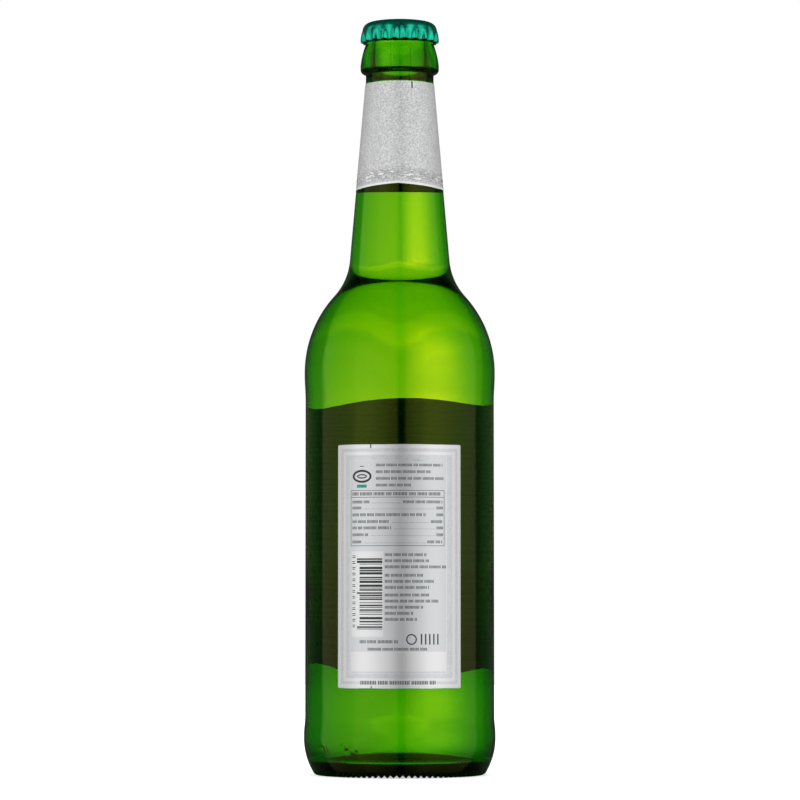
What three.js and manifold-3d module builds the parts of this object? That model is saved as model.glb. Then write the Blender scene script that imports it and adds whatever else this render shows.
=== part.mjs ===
// A full half-litre returnable beer bottle: green glass, pale beer, a crimped crown cap,
// a paper band round the neck, an oval front label and a rectangular back label.
// Millimetres, +Z up. The origin is the centre of the base, on the surface it stands on.
// The back label faces -Y and the front label faces +Y.
import * as THREE from "three";
import { mergeVertices } from "three/addons/utils/BufferGeometryUtils.js";
import Module from "manifold-3d";

// Main heights
const LIP_TOP = 269.9;
const CAP_TOP = 270.7;
const FILL_LEVEL = 214.9; // 55 mm below the lip
const ROUND_SIDES = 48;

// Outside of the glass, from the base upwards
const CONTACT_INNER = 26.0;
const CONTACT_OUTER = 29.1;
const PUNT_HEIGHT = 4.0;
const CORNER_RADIUS = 2.2;
const HEEL_RADIUS = 34.28;
const HEEL_TOP = 13.1;
const HEEL_ARC = 23.3;
const HEEL_STEP_START = 14.6;
const HEEL_STEP_END = 20.8;
const PANEL_RADIUS = 33.85;
const PANEL_TOP = 134.0;
const SHOULDER = { radius: 34.2, start: 144.1, arc: 40.9, fillet: 22.2 };
const NECK = { reference: 200, radius: 16.6, slope: 0.0875, end: 247.6 };
const THROAT_RADIUS = 12.25;
const BEAD = { bottom: 252.2, round: 1.5, widest: 254.9, radius: 14.15 };
const WAIST = { radius: 12.3, low: 262.9, high: 263.9 };
const LIP = { radius: 12.8, height: 266.7, round: 2.2, innerRound: 1.1 };

// Inside of the glass
const INNER_BODY_RADIUS = 30.8;
const INNER_FLOOR = 8.3;
const INNER_HEEL = { radius: 8, centre: 13.6, lean: 13 };
const INNER_SHOULDER_FILLET = 25.2;
const INNER_NECK = { radius: 13.5, slope: 0.1, end: 251.0 };
const BORE_RADIUS = 8.4;

// Grip marks round the edge of the base
const KNURL = { count: 84, reach: 0.5, length: 3.6, lean: 42 }; // degrees from level

// Pieces that lie on or in the glass
const BEER_GAP = 0.3;
const PAPER = 0.2;
const NECK_BAND = { low: 209.8, high: 248.2, gap: 0.14, rise: 1.2, riseAngle: 60 };
const BACK_LABEL = { low: 31.5, high: 116.9, halfAngle: 40, columns: 14, gap: 0.14 };
const FRONT_LABEL = {
  centre: 85.6,
  halfHeight: 50.5,
  halfWidth: 37,
  turn: 2.2,
  columns: 26,
  bluntness: 0.985,
  gap: 0.2,
};

// Crown cap
const CAP = { flat: 10.65, corner: 2.8, sheet: 0.3, liner: 0.5, flutes: 21, sidesPerFlute: 4 };
const SKIRT = [
  { radius: 13.5, height: 267.0 },
  { radius: 13.35, height: 265.8 },
  { radius: 13.1, height: 264.6 },
  { radius: 13.0, height: 263.4 },
];
const RIDGE = { start: 268.6, full: 264.5, reach: 1.12, tipLift: 0.3 };

const DEGREE = Math.PI / 180;
const point = (r, z) => new THREE.Vector2(r, z);

// Points on an arc, both ends included. Angle 0 points outwards and 90 upwards.
function arc(centreR, centreZ, radius, from, to, steps) {
  const made = [];
  for (let i = 0; i <= steps; i++) {
    const a = (from + ((to - from) * i) / steps) * DEGREE;
    made.push(point(centreR + radius * Math.cos(a), centreZ + radius * Math.sin(a)));
  }
  return made;
}

// A smooth step between two points that starts and ends upright.
function easedStep(start, end, steps) {
  const made = [];
  for (let i = 0; i <= steps; i++) {
    const t = i / steps;
    const eased = t * t * (3 - 2 * t);
    made.push(point(start.x + (end.x - start.x) * eased, start.y + (end.y - start.y) * t));
  }
  return made;
}

// The shoulder's round, the hollow above it and the straight neck, each tangent to the next.
function shoulderToNeck(shoulderArc, filletArc, neck, roundSteps, hollowSteps) {
  const lean = Math.atan(neck.slope);
  const shoulder = point(SHOULDER.radius - SHOULDER.arc, SHOULDER.start);
  const down = point(Math.sin(lean), -Math.cos(lean));
  const beside = point(
    neck.radius + filletArc * Math.cos(lean),
    NECK.reference + filletArc * Math.sin(lean),
  );
  const apart = beside.clone().sub(shoulder);
  const along = apart.dot(down);
  const reach = (shoulderArc + filletArc) ** 2;
  const travel = -along - Math.sqrt(along * along - apart.lengthSq() + reach);
  const fillet = beside.clone().addScaledVector(down, travel);
  const turn = Math.atan2(fillet.y - shoulder.y, fillet.x - shoulder.x) / DEGREE;
  const neckRadius = neck.radius - (neck.end - NECK.reference) * neck.slope;
  return [
    ...arc(shoulder.x, shoulder.y, shoulderArc, 0, turn, roundSteps),
    ...arc(fillet.x, fillet.y, filletArc, 180 + turn, 180 + lean / DEGREE, hollowSteps).slice(1),
    point(neckRadius, neck.end),
  ];
}

// The outer outline of the glass, from the middle of the base up to the mouth.
function outerOutline() {
  const punt = [0, 0.5, 0.85].map((share) =>
    point(CONTACT_INNER * share, PUNT_HEIGHT * (1 - share * share)),
  );
  const heelTurn = -30.4;
  return [
    ...punt,
    point(CONTACT_INNER, 0),
    ...arc(CONTACT_OUTER, CORNER_RADIUS, CORNER_RADIUS, -90, heelTurn, 2),
    ...arc(HEEL_RADIUS - HEEL_ARC, HEEL_TOP, HEEL_ARC, heelTurn, 0, 4).slice(1),
    ...easedStep(point(HEEL_RADIUS, HEEL_STEP_START), point(PANEL_RADIUS, HEEL_STEP_END), 3),
    ...easedStep(point(PANEL_RADIUS, PANEL_TOP), point(SHOULDER.radius, SHOULDER.start - 1), 3),
    ...shoulderToNeck(SHOULDER.arc, SHOULDER.fillet, NECK, 8, 5),
    ...finishOutline(),
  ];
}

// The throat, the bead, the waist that the cap grips and the rounded lip.
function finishOutline() {
  return [
    point(THROAT_RADIUS, NECK.end + 1.2),
    point(THROAT_RADIUS, BEAD.bottom - 0.4),
    ...arc(BEAD.radius - BEAD.round, BEAD.bottom + BEAD.round, BEAD.round, -80, 0, 3),
    point(BEAD.radius, BEAD.widest),
    point(BEAD.radius - 0.33, BEAD.widest + 2.6),
    point(BEAD.radius - 1, BEAD.widest + 5.2),
    point(WAIST.radius, WAIST.low),
    point(WAIST.radius, WAIST.high),
    point(LIP.radius, LIP.height),
    ...arc(LIP.radius - LIP.round, LIP_TOP - LIP.round, LIP.round, 0, 90, 3),
    ...arc(BORE_RADIUS + LIP.innerRound, LIP_TOP - LIP.innerRound, LIP.innerRound, 90, 180, 1),
  ];
}

// The inner outline, from the middle of the floor up to the bore. A gap moves it inwards.
function innerOutline(gap) {
  const heelR = INNER_BODY_RADIUS - INNER_HEEL.radius;
  const heel = arc(heelR, INNER_HEEL.centre, INNER_HEEL.radius - gap, -90 - INNER_HEEL.lean, 0, 5);
  const floor = INNER_FLOOR + gap;
  const dome = [0, 0.6].map((share) =>
    point(heel[0].x * share, floor - (floor - heel[0].y) * share * share),
  );
  const neck = { ...INNER_NECK, radius: INNER_NECK.radius - gap };
  const shoulderArc = INNER_BODY_RADIUS - SHOULDER.radius + SHOULDER.arc - gap;
  return [
    ...dome,
    ...heel,
    ...shoulderToNeck(shoulderArc, INNER_SHOULDER_FILLET + gap, neck, 6, 3),
  ];
}

// A body turned about the Z axis from an outline of radius and height.
function turned(outline, sides) {
  return new THREE.LatheGeometry(outline, sides).rotateX(Math.PI / 2);
}

const wasm = await Module();
wasm.setup();

function toSolid(geometry) {
  const bare = geometry.clone();
  bare.deleteAttribute("normal");
  bare.deleteAttribute("uv");
  const merged = mergeVertices(bare, 1e-4);
  return new wasm.Manifold(
    new wasm.Mesh({
      numProp: 3,
      vertProperties: new Float32Array(merged.attributes.position.array),
      triVerts: new Uint32Array(merged.index.array),
    }),
  );
}

function toGeometry(solid) {
  const mesh = solid.getMesh();
  return new THREE.BufferGeometry()
    .setAttribute("position", new THREE.BufferAttribute(mesh.vertProperties, 3))
    .setIndex(new THREE.BufferAttribute(mesh.triVerts, 1));
}

// Short grooves across the rounded edge of the base, evenly spaced.
function knurlCutters() {
  const cornerMiddle = CORNER_RADIUS * Math.sin(45 * DEGREE);
  const radius = CONTACT_OUTER + cornerMiddle;
  const height = CORNER_RADIUS - cornerMiddle;
  const bar = toSolid(
    new THREE.CylinderGeometry(KNURL.reach, KNURL.reach, KNURL.length, 4)
      .rotateZ(-Math.PI / 2)
      .rotateY(-KNURL.lean * DEGREE)
      .translate(radius, 0, height),
  );
  const bars = [];
  for (let i = 0; i < KNURL.count; i++) {
    bars.push(bar.rotate([0, 0, (360 * (i + 0.5)) / KNURL.count]));
  }
  return wasm.Manifold.union(bars);
}

function bottleGeometry() {
  const inside = innerOutline(0).reverse();
  const glass = toSolid(turned([...outerOutline(), ...inside], ROUND_SIDES));
  return toGeometry(glass.subtract(knurlCutters()));
}

function beerGeometry() {
  const wall = innerOutline(BEER_GAP).filter((p) => p.y < FILL_LEVEL);
  const topRadius = INNER_NECK.radius - BEER_GAP - (FILL_LEVEL - NECK.reference) * INNER_NECK.slope;
  return turned([...wall, point(topRadius, FILL_LEVEL), point(0, FILL_LEVEL)], ROUND_SIDES);
}

// One face of the cap from its middle to the skirt's edge, moved inwards and down.
function capFace(inset, drop, steps) {
  const round = arc(CAP.flat, CAP_TOP - CAP.corner - drop, CAP.corner - inset, 90, 8, steps);
  const skirt = SKIRT.map((level) => point(level.radius - inset, level.height));
  return [point(0, CAP_TOP - inset - drop), ...round, ...skirt];
}

// How far the ridges stand out of the skirt at a height, from 0 to 1.
function ridgeShare(height) {
  const share = (RIDGE.start - height) / (RIDGE.start - RIDGE.full);
  return Math.min(1, Math.max(0, share)) ** 1.2;
}

function capGeometry() {
  const outside = capFace(0, 0, 3);
  const inside = capFace(CAP.sheet, CAP.liner - CAP.sheet, 2);
  const cap = turned([...inside, ...outside.reverse()], CAP.flutes * CAP.sidesPerFlute);
  const edge = SKIRT.at(-1).height;
  const places = cap.attributes.position;
  for (let i = 0; i < places.count; i++) {
    const x = places.getX(i);
    const y = places.getY(i);
    const z = places.getZ(i);
    const radius = Math.hypot(x, y);
    if (radius < CAP.flat) continue;
    const wave = (1 + Math.cos(CAP.flutes * Math.atan2(y, x))) / 2;
    const share = wave * wave * ridgeShare(z);
    const scale = (radius + RIDGE.reach * share) / radius;
    const lift = z < edge + 0.1 ? RIDGE.tipLift * share : 0;
    places.setXYZ(i, x * scale, y * scale, z + lift);
  }
  return cap;
}

// The band is cut a little higher on both sides of its seam, which faces -Y.
function neckBandGeometry() {
  const radiusAt = (z) => NECK.radius - (z - NECK.reference) * NECK.slope + NECK_BAND.gap;
  const { low, high } = NECK_BAND;
  const outline = [
    point(radiusAt(low), low),
    point(radiusAt(low) + PAPER, low),
    point(radiusAt(high) + PAPER, high),
    point(radiusAt(high), high),
    point(radiusAt(low), low),
  ];
  const band = turned(outline, ROUND_SIDES);
  const places = band.attributes.position;
  for (let i = 0; i < places.count; i++) {
    if (places.getZ(i) > low + 1) continue;
    const fromSeam = Math.abs(Math.atan2(places.getX(i), -places.getY(i))) / DEGREE;
    const rise = NECK_BAND.rise * Math.max(0, 1 - fromSeam / NECK_BAND.riseAngle);
    places.setXYZ(i, places.getX(i), places.getY(i), low + rise);
  }
  return band;
}

// A sheet of paper bent round the body. The face angle is 0 at -Y and 180 at +Y.
// across turns a place from -1 to 1 into a distance round the body, and edges gives the two
// heights of the sheet there.
function bentLabel(columns, inner, faceAngle, across, edges) {
  const sheet = new THREE.BoxGeometry(2, 1, PAPER, columns, 1, 1);
  const places = sheet.attributes.position;
  for (let i = 0; i < places.count; i++) {
    const distance = across(places.getX(i));
    const [bottom, top] = edges(distance);
    const radius = inner + PAPER / 2 + places.getZ(i);
    const angle = faceAngle * DEGREE + distance / PANEL_RADIUS - Math.PI / 2;
    const height = bottom + (top - bottom) * (places.getY(i) + 0.5);
    places.setXYZ(i, radius * Math.cos(angle), radius * Math.sin(angle), height);
  }
  return sheet;
}

function backLabelGeometry() {
  const halfWidth = BACK_LABEL.halfAngle * DEGREE * PANEL_RADIUS;
  return bentLabel(
    BACK_LABEL.columns,
    PANEL_RADIUS + BACK_LABEL.gap,
    0,
    (share) => share * halfWidth,
    () => [BACK_LABEL.low, BACK_LABEL.high],
  );
}

function frontLabelGeometry() {
  const { centre, halfHeight, halfWidth, bluntness } = FRONT_LABEL;
  return bentLabel(
    FRONT_LABEL.columns,
    PANEL_RADIUS + FRONT_LABEL.gap,
    180 - FRONT_LABEL.turn,
    (share) => halfWidth * Math.sin((share * Math.PI) / 2),
    (distance) => {
      const reach = Math.sqrt(1 - ((bluntness * distance) / halfWidth) ** 2);
      return [centre - halfHeight * reach, centre + halfHeight * reach];
    },
  );
}

const greenGlass = new THREE.MeshStandardMaterial({
  color: 0x2f8a0c,
  roughness: 0.05,
  metalness: 0,
  transparent: true,
  opacity: 0.45,
});
const paleBeer = new THREE.MeshStandardMaterial({
  color: 0xd9a520,
  roughness: 0.05,
  metalness: 0,
  transparent: true,
  opacity: 0.6,
});
const lacqueredTin = new THREE.MeshStandardMaterial({
  color: 0x08a583,
  roughness: 0.3,
  metalness: 0.8,
});
const silverPaper = new THREE.MeshStandardMaterial({
  color: 0xc8cacc,
  roughness: 0.45,
  metalness: 0.5,
});

function named(name, geometry, material) {
  const mesh = new THREE.Mesh(geometry, material);
  mesh.name = name;
  return mesh;
}

const bottle = new THREE.Group();
bottle.add(named("glass_bottle", bottleGeometry(), greenGlass));
bottle.add(named("beer", beerGeometry(), paleBeer));
bottle.add(named("crown_cap", capGeometry(), lacqueredTin));
bottle.add(named("neck_band", neckBandGeometry(), silverPaper));
bottle.add(named("back_label", backLabelGeometry(), silverPaper));
bottle.add(named("front_label", frontLabelGeometry(), silverPaper));

export default bottle;
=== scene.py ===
"""A full green half-litre beer bottle in soft studio light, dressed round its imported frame.

Lengths are in millimetres until a mesh is made. The back label and the camera are on the -Y side.
"""
import math
import random

import bmesh
import bpy
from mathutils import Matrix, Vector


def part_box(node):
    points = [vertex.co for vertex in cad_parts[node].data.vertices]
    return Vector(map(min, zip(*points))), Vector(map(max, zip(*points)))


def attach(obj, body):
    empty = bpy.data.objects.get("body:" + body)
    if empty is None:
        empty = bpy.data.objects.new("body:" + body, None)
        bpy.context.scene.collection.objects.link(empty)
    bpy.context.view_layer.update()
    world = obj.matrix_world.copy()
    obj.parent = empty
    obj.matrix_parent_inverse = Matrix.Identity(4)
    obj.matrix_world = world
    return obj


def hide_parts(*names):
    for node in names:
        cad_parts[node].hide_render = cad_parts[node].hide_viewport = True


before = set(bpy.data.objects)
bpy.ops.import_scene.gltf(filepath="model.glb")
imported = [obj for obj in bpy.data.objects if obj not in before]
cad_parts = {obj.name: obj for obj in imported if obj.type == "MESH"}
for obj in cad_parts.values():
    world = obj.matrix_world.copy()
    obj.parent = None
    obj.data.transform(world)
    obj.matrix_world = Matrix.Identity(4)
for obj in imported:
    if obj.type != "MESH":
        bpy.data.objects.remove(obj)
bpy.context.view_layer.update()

MM = 0.001
BODY = "root"
ON_AXIS = 1e-6
SHARP_ANGLE = 50


def node_box(node):
    """Lowest and highest corner of a node, in millimetres."""
    low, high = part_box(node)
    return [c / MM for c in low], [c / MM for c in high]


GLASS_HIGH = node_box("glass_bottle")[1]
BEER_HIGH = node_box("beer")[1]
CAP_LOW, CAP_HIGH = node_box("crown_cap")
BAND_LOW, BAND_HIGH = node_box("neck_band")
BACK_LOW, BACK_HIGH = node_box("back_label")
FRONT_LOW, FRONT_HIGH = node_box("front_label")

# Outside of the glass
LIP_TOP = GLASS_HIGH[2]
HEEL_RADIUS = GLASS_HIGH[0]
PUNT_RADIUS = 26.4
RING_HEIGHT = 1.0
CONTACT_INNER = 27.8
CONTACT_OUTER = 29.1
RING_SIDE = (
    (PUNT_RADIUS + 0.6, 0.75), (CONTACT_INNER - 0.25, 0.3), (CONTACT_INNER, 0.06),
    (CONTACT_INNER + 0.3, 0.0),
)
RING_FLAT = (28.4, 28.6, 28.8)
PUNT_HEIGHT = 4.0
CORNER_RADIUS = 2.2
HEEL_TURN = 30.4
HEEL_TOP = 13.1
HEEL_ARC = 23.3
HEEL_STEP = (14.6, 20.8)
PANEL_RADIUS = 33.85
PANEL_TOP = 134.0
SHOULDER_RADIUS = 34.2
SHOULDER_START = 144.1
SHOULDER_ARC = 40.9
SHOULDER_FILLET = 22.2
NECK_REFERENCE = 200.0
NECK_RADIUS = 16.6
NECK_SLOPE = 0.0875
NECK_END = 247.6
THROAT_RADIUS = 12.25
BEAD_BOTTOM = 252.2
BEAD_ROUND = 1.5
BEAD_WIDEST = 254.9
BEAD_RADIUS = 14.15
WAIST_RADIUS = 12.3
THROAT = (
    (THROAT_RADIUS + 0.06, NECK_END + 0.7), (THROAT_RADIUS, NECK_END + 1.4),
    (THROAT_RADIUS, BEAD_BOTTOM - 0.9), (THROAT_RADIUS + 0.08, BEAD_BOTTOM - 0.35),
)
TAPER_EVEN = 0.35
TAPER_CURVED = 0.65
WAIST = (262.9, 263.9)
LIP_RADIUS = 12.8
LIP_HEIGHT = 266.7
LIP_ROUND = 2.2
LIP_INNER_ROUND = 1.1

# Inside of the glass
INNER_RADIUS = 32.5
INNER_LOW_RADIUS = 30.3
INNER_LOW_TOP = 27.0
INNER_THICK = (29.0, 42.0)
INNER_THICK_END = 88.0
INNER_SHOULDER_DROP = 2.0
INNER_FLOOR = 8.3
INNER_HEEL_RADIUS = 8.0
INNER_HEEL_CENTRE = 13.6
INNER_HEEL_LEAN = 13.0
INNER_FILLET = 24.6
INNER_NECK_RADIUS = 14.4
INNER_NECK_SLOPE = 0.102
INNER_NECK_END = 251.0
BORE_RADIUS = 8.45
BEER_REACH = 0.1
BEER_SIDES = 168
BEER_WALL_STOP = 0.5
# The beer's edge: inwards from the glass and above the level
MENISCUS = ((0.05, 1.2), (0.9, 0.4), (2.2, 0.05), (3.5, 0.0))

# Relief on the glass. The grooves fade out inside the foot ring and up the rounded corner, from an
# angle of the corner on
KNURLS = 84
SIDES_PER_KNURL = 4
KNURL_DEPTH = 1.0
KNURL_START = 25.8
KNURL_EASE = 1.2
KNURL_FADE_ANGLE = -40.0
KNURL_FADE = 22.0
KNURL_HIGHEST = 5.0
SEAM_ANGLE = 17.5
SEAM_HEIGHT = 0.14
SEAM_HALF_ANGLE = 1.6
MARKS = ((-56.5, 10.2), (-53.0, 10.4), (-36.5, 11.2), (-33.0, 9.6), (-29.5, 10.8))
MARK_HEIGHT = 0.5
MARK_SIZE = 0.75
MARK_LOWEST = 7.0
MARK_HIGHEST = 14.0

# Skins on the glass
SUNK = 0.04
PAPER = 0.1
BACK_HALF_ANGLE = 39.4
BACK_TURN = -0.3
BACK_GRID = (72, 60)
BACK_CORNER = 0.6
BACK_CORNER_CUT = 0.25
# Slight waves of the label's lower and upper edge: height, and radians for each millimetre
BACK_WAVES = ((0.05, 0.45), (0.04, 0.3))
FRONT_HALF_WIDTH = 37.0
FRONT_TURN = 2.2
FRONT_BLUNTNESS = 0.985
FRONT_GRID = (96, 60)
BAND_RISE = 1.2
BAND_RISE_ANGLE = 60.0
BAND_SEAM_ANGLE = -2.6
BAND_GRID = (240, 40)


def arc(centre_r, centre_z, radius, start, end, step=1.4):
    """Points on an arc. Angle 0 points outwards and 90 upwards; step is the spacing in mm."""
    length = abs(math.radians(end - start)) * radius
    count = max(3, math.ceil(length / step))
    made = []
    for i in range(count + 1):
        a = math.radians(start + (end - start) * i / count)
        made.append((centre_r + radius * math.cos(a), centre_z + radius * math.sin(a)))
    return made


def smooth(t):
    """0 up to 0, 1 from 1 on, and an even S between."""
    t = min(1.0, max(0.0, t))
    return t * t * (3 - 2 * t)


def eased_step(start, end, count):
    """A smooth step between two points that starts and ends upright."""
    made = []
    for i in range(count + 1):
        t = i / count
        made.append((start[0] + (end[0] - start[0]) * smooth(t), start[1] + (end[1] - start[1]) * t))
    return made


def straight(start, end, count):
    """Points along a straight line, without its first."""
    return [
        (start[0] + (end[0] - start[0]) * i / count, start[1] + (end[1] - start[1]) * i / count)
        for i in range(1, count + 1)
    ]


def shoulder_to_neck(centre, shoulder_arc, fillet_arc, neck_radius, slope, neck_end):
    """The shoulder's round, the hollow above it and the straight neck, each tangent to the next."""
    lean = math.atan(slope)
    down = (math.sin(lean), -math.cos(lean))
    beside = (
        neck_radius + fillet_arc * math.cos(lean),
        NECK_REFERENCE + fillet_arc * math.sin(lean),
    )
    apart = (beside[0] - centre[0], beside[1] - centre[1])
    along = apart[0] * down[0] + apart[1] * down[1]
    distance_squared = apart[0] ** 2 + apart[1] ** 2
    reach = (shoulder_arc + fillet_arc) ** 2
    travel = -along - math.sqrt(along * along - distance_squared + reach)
    fillet = (beside[0] + down[0] * travel, beside[1] + down[1] * travel)
    turn = math.degrees(math.atan2(fillet[1] - centre[1], fillet[0] - centre[0]))
    rounds = arc(*centre, shoulder_arc, 0, turn)
    hollow = arc(*fillet, fillet_arc, 180 + turn, 180 + math.degrees(lean))[1:]
    top = (neck_radius - (neck_end - NECK_REFERENCE) * slope, neck_end)
    return rounds + hollow + straight(hollow[-1], top, 12)


def outer_outline():
    """The outer outline of the glass, from the middle of the base up to the inner edge of the lip."""
    punt = []
    for i in range(12):
        share = i / 12
        rise = (PUNT_HEIGHT - RING_HEIGHT) * (1 - share * share)
        punt.append((PUNT_RADIUS * share, RING_HEIGHT + rise))
    punt += [(PUNT_RADIUS, RING_HEIGHT), *RING_SIDE]
    punt += [(r, 0.0) for r in RING_FLAT]
    heel_start = (HEEL_RADIUS, HEEL_STEP[0])
    heel_end = (PANEL_RADIUS, HEEL_STEP[1])
    panel_top = (PANEL_RADIUS, PANEL_TOP)
    centre = (SHOULDER_RADIUS - SHOULDER_ARC, SHOULDER_START)
    return (
        punt
        + arc(CONTACT_OUTER, CORNER_RADIUS, CORNER_RADIUS, -90, -HEEL_TURN, 0.3)
        + arc(HEEL_RADIUS - HEEL_ARC, HEEL_TOP, HEEL_ARC, -HEEL_TURN, 0, 0.5)[1:]
        + eased_step(heel_start, heel_end, 8)
        + straight(heel_end, panel_top, 16)[:-1]
        + eased_step(panel_top, (SHOULDER_RADIUS, SHOULDER_START - 1), 8)
        + shoulder_to_neck(centre, SHOULDER_ARC, SHOULDER_FILLET, NECK_RADIUS, NECK_SLOPE, NECK_END)
        + finish_outline()
    )


def finish_outline():
    """The throat, the bead, the waist that the cap grips and the rounded lip."""
    bead = BEAD_RADIUS - BEAD_ROUND
    taper = []
    for i in range(1, 8):
        t = i / 7
        drop = (BEAD_RADIUS - WAIST_RADIUS) * (TAPER_EVEN * t + TAPER_CURVED * t * t)
        taper.append((BEAD_RADIUS - drop, BEAD_WIDEST + (WAIST[0] - BEAD_WIDEST) * t))
    lip_centre = LIP_RADIUS - LIP_ROUND
    return (
        [*THROAT]
        + arc(bead, BEAD_BOTTOM + BEAD_ROUND, BEAD_ROUND, -82, 0, 0.3)
        + [(BEAD_RADIUS, BEAD_WIDEST)]
        + taper
        + [(WAIST_RADIUS, WAIST[1]), (LIP_RADIUS - 0.1, LIP_HEIGHT - 0.5)]
        + arc(lip_centre, LIP_TOP - LIP_ROUND, LIP_ROUND, 0, 90, 0.5)
        + arc(BORE_RADIUS + LIP_INNER_ROUND, LIP_TOP - LIP_INNER_ROUND, LIP_INNER_ROUND, 90, 180, 0.4)
    )


def inner_outline(swell):
    """The inner outline, from the middle of the floor up to the bore. A swell moves it outwards."""
    heel_r = INNER_LOW_RADIUS - INNER_HEEL_RADIUS
    lean = -90 - INNER_HEEL_LEAN
    heel = arc(heel_r, INNER_HEEL_CENTRE, INNER_HEEL_RADIUS + swell, lean, 0, 1.0)
    floor = INNER_FLOOR - swell
    dome = []
    for i in range(8):
        share = i / 8
        dome.append((heel[0][0] * share, floor - (floor - heel[0][1]) * share * share))
    low = (INNER_LOW_RADIUS + swell, INNER_LOW_TOP)
    thick = (INNER_THICK[0] + swell, INNER_THICK[1])
    high = (INNER_RADIUS + swell, INNER_THICK_END)
    centre = (SHOULDER_RADIUS - SHOULDER_ARC, SHOULDER_START - INNER_SHOULDER_DROP)
    shoulder_arc = INNER_RADIUS - centre[0] + swell
    neck = INNER_NECK_RADIUS + swell
    fillet = INNER_FILLET - swell
    upper = shoulder_to_neck(centre, shoulder_arc, fillet, neck, INNER_NECK_SLOPE, INNER_NECK_END)
    side = eased_step(low, thick, 8)[:-1] + eased_step(thick, high, 8) + straight(high, upper[0], 10)[:-1]
    return dome + heel + side + upper


def new_object(name, vertices, faces):
    """A smooth-shaded mesh object from millimetres. Angles over the sharp angle stay sharp."""
    mesh = bpy.data.meshes.new(name)
    mesh.from_pydata([(x * MM, y * MM, z * MM) for x, y, z in vertices], [], faces)
    mesh.validate()
    mesh.shade_smooth()
    mesh.set_sharp_from_angle(angle=math.radians(SHARP_ANGLE))
    made = bpy.data.objects.new(name, mesh)
    bpy.context.scene.collection.objects.link(made)
    return made


def turned(name, outline, sides, relief=None):
    """A solid turned about Z from (radius, height) points that start and end on the axis.

    Angle 0 is at -Y and grows towards +X. relief(angle, r, z) gives a point's own radius and
    height.
    """
    vertices = []
    rings = []
    for r, z in outline:
        if r < ON_AXIS:
            rings.append([len(vertices)] * sides)
            vertices.append((0, 0, z))
            continue
        ring = []
        for k in range(sides):
            angle = 2 * math.pi * k / sides
            here_r, here_z = relief(angle, r, z) if relief else (r, z)
            ring.append(len(vertices))
            vertices.append((here_r * math.sin(angle), -here_r * math.cos(angle), here_z))
        rings.append(ring)
    faces = []
    for low, high in zip(rings, rings[1:]):
        for k in range(sides):
            n = (k + 1) % sides
            corners = [low[k], low[n], high[n], high[k]]
            faces.append([c for i, c in enumerate(corners) if c not in corners[:i]])
    return new_object(name, vertices, faces)


def knurl_share(r, z):
    """How much of the knurls' depth a point on the rounded base edge has."""
    if z > KNURL_HIGHEST or r < KNURL_START:
        return 0.0
    if r < CONTACT_OUTER:
        return smooth((r - KNURL_START) / KNURL_EASE)
    angle = math.degrees(math.atan2(z - CORNER_RADIUS, r - CONTACT_OUTER))
    return 1.0 - smooth((angle - KNURL_FADE_ANGLE) / KNURL_FADE)


def glass_relief(angle, r, z):
    """Knurls on the base edge, the mould seam on the neck finish and round bumps on the heel."""
    share = knurl_share(r, z)
    if share > 0:
        cut = KNURL_DEPTH * share * (0.5 - 0.5 * math.cos(KNURLS * angle))
        out = (max(0.0, r - CONTACT_OUTER), z - CORNER_RADIUS)
        size = math.hypot(*out)
        return r - cut * out[0] / size, z - cut * out[1] / size
    if z > NECK_END and r > THROAT_RADIUS - 0.5:
        for seam in (SEAM_ANGLE, SEAM_ANGLE + 180):
            away = abs(math.degrees(angle) - seam)
            if away < SEAM_HALF_ANGLE:
                return r + SEAM_HEIGHT * (1 - away / SEAM_HALF_ANGLE), z
    if MARK_LOWEST < z < MARK_HIGHEST and r > CONTACT_OUTER:
        turn = math.degrees(angle) if angle < math.pi else math.degrees(angle) - 360
        for mark_turn, mark_z in MARKS:
            away = math.hypot(math.radians(turn - mark_turn) * r, z - mark_z)
            if away < MARK_SIZE * 2:
                return r + MARK_HEIGHT * math.exp(-(away / MARK_SIZE) ** 2 * 2), z
    return r, z


def make_glass():
    outline = outer_outline() + inner_outline(0.0)[::-1]
    return turned("glass", outline, KNURLS * SIDES_PER_KNURL, glass_relief)


def make_beer():
    """The beer reaches just into the glass, and climbs a little at its edge."""
    level = BEER_HIGH[2]
    wall = [p for p in inner_outline(BEER_REACH) if p[1] < level - BEER_WALL_STOP]
    edge = wall[-1][0]
    meniscus = [(edge - inwards, level + climb) for inwards, climb in MENISCUS]
    surface = [(edge * 0.4, level), (0.0, level)]
    return turned("beer_body", wall + meniscus + surface, BEER_SIDES)


CAP_TOP = CAP_HIGH[2]
CAP_EDGE = CAP_LOW[2]
CAP_FLAT = 10.65
CAP_CORNER = 2.8
CAP_SHEET = 0.28
CAP_LINER = 0.5
FLUTES = 21
SIDES_PER_FLUTE = 14
RIDGE_START = 268.7
RIDGE_FULL = 264.6
RIDGE_REACH = 1.12
RIDGE_EASE = 1.2
RIDGE_SHARPNESS = 1.5
EDGE_LIFT = 0.3
EDGE_BAND = 0.25
SKIRT = ((13.42, 268.0), (13.5, 267.0), (13.38, 265.9), (13.14, 264.7), (13.0, 263.8), (13.06, 263.4))


def cap_face(inset, drop):
    """One face of the cap from its middle to the skirt's edge, moved inwards and down."""
    corner = arc(CAP_FLAT, CAP_TOP - CAP_CORNER - drop, CAP_CORNER - inset, 90, 6, 0.35)
    flat = [(CAP_FLAT * i / 5, CAP_TOP - inset - drop) for i in range(5)]
    skirt = []
    for start, end in zip(SKIRT, SKIRT[1:]):
        skirt += straight((start[0] - inset, start[1]), (end[0] - inset, end[1]), 3)
    return flat + corner + skirt


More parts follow.
